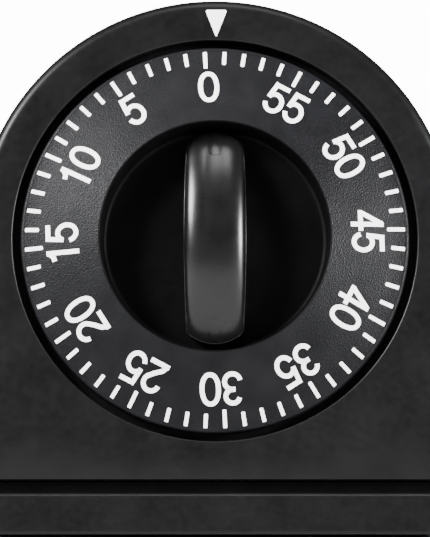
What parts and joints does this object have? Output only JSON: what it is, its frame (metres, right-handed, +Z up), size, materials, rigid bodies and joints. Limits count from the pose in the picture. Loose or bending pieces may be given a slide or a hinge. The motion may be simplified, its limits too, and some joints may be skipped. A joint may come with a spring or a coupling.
{
  "type": "kitchen timer",
  "caption": "Mechanical countdown timer: leaning arch-topped case on a plinth, round minute dial with a grip bar, and clockwork that rings a bell.",
  "frame": {"origin": "middle of the underside, on the surface that the feet stand on", "axes": "+Z up, the dial faces -Y, +X is to the right of someone who reads it; the face leans back 8 degrees"},
  "size_m": [0.1032, 0.057, 0.1152],
  "materials": {
    "case_plastic": "fine matte moulded black",
    "dial_plastic": "stippled black",
    "grip_plastic": "satin black",
    "print_white": "printed",
    "rubber": "matte",
    "steel": "plated",
    "spring_steel": "blued",
    "brass": "stamped",
    "bell_metal": "polished"
  },
  "bodies": {
    "case": {"front_case": "case_plastic", "rear_cover": "case_plastic", "base": "case_plastic", "base_plate": "case_plastic", "foot_1": "rubber", "foot_2": "rubber", "foot_3": "rubber", "foot_4": "rubber", "case_screw_1": "steel", "case_screw_2": "steel", "case_screw_3": "steel", "case_screw_4": "steel", "base_screw_1": "steel", "base_screw_2": "steel", "plate_screw_1": "steel", "plate_screw_2": "steel", "front_plate": "brass", "rear_plate": "brass", "pillar_1": "brass", "pillar_2": "brass", "pillar_3": "brass", "pillar_4": "brass", "pillar_nut_1": "steel", "pillar_nut_2": "steel", "pillar_nut_3": "steel", "pillar_nut_4": "steel", "movement_screw_1": "steel", "movement_screw_2": "steel", "movement_screw_3": "steel", "mainspring": "spring_steel", "spring_post": "steel", "trip_stud": "steel", "bell": "bell_metal", "bell_post": "steel", "bell_nut": "steel"},
    "dial": {"dial": "dial_plastic", "grip_bar": "grip_plastic", "main_arbor": "steel", "ratchet_wheel": "steel", "great_wheel": "brass", "click": "steel", "click_spring": "spring_steel", "trip_cam": "steel"},
    "second": {"second_arbor": "steel", "second_wheel": "brass"},
    "third": {"third_arbor": "steel", "third_wheel": "brass"},
    "escape": {"escape_arbor": "steel", "escape_wheel": "brass"},
    "pallet": {"pallet_arbor": "steel", "pallet_lever": "brass", "pallet_pin_1": "steel", "pallet_pin_2": "steel"},
    "balance": {"balance_staff": "steel", "balance_wheel": "brass", "impulse_pin": "steel"},
    "trip": {"trip_lever": "steel"},
    "hammer": {"hammer_arbor": "steel", "hammer_arm": "spring_steel", "hammer_head": "brass"}
  },
  "joints": [
    {"name": "dial_turn", "type": "hinge", "parent": "case", "child": "dial", "pos_m": [0, -0.00741, 0.06216], "axis": [0, 0.9903, -0.1392], "range_deg": [0, 352], "deforming": ["mainspring"]},
    {"name": "second_spin", "type": "hinge", "parent": "case", "child": "second", "pos_m": [0.00619, -0.0042, 0.08502], "axis": [0, 0.9903, -0.1392], "range_deg": [-2640, 0]},
    {"name": "third_spin", "type": "hinge", "parent": "case", "child": "third", "pos_m": [0.02023, -0.00511, 0.07854], "axis": [0, 0.9903, -0.1392], "range_deg": [0, 15840]},
    {"name": "escape_spin", "type": "hinge", "parent": "case", "child": "escape", "pos_m": [0.02685, -0.00684, 0.06621], "axis": [0, 0.9903, -0.1392], "range_deg": [-95040, 0]},
    {"name": "balance_swing", "type": "hinge", "parent": "case", "child": "balance", "pos_m": [0.02056, -0.00963, 0.04634], "axis": [0, 0.9903, -0.1392], "range_deg": [-32, 32]},
    {"name": "pallet_rock", "type": "hinge", "parent": "case", "child": "pallet", "pos_m": [0.02499, -0.00831, 0.05576], "axis": [0, 0.9903, -0.1392], "range_deg": [-8, 8]},
    {"name": "trip_lever_drop", "type": "hinge", "parent": "case", "child": "trip", "pos_m": [-0.019, -0.00546, 0.07603], "axis": [0, 0.9903, -0.1392], "range_deg": [0, 5]},
    {"name": "hammer_swing", "type": "hinge", "parent": "case", "child": "hammer", "pos_m": [-0.027, -0.0063, 0.07008], "axis": [0, -0.9903, 0.1392], "range_deg": [0, 7]}
  ],
  "couplings": [
    {"joint": "second_spin", "follows": "dial_turn", "ratio": -7.5},
    {"joint": "third_spin", "follows": "dial_turn", "ratio": 45},
    {"joint": "escape_spin", "follows": "dial_turn", "ratio": -270},
    {"joint": "pallet_rock", "follows": "balance_swing", "ratio": -0.25}
  ]
}
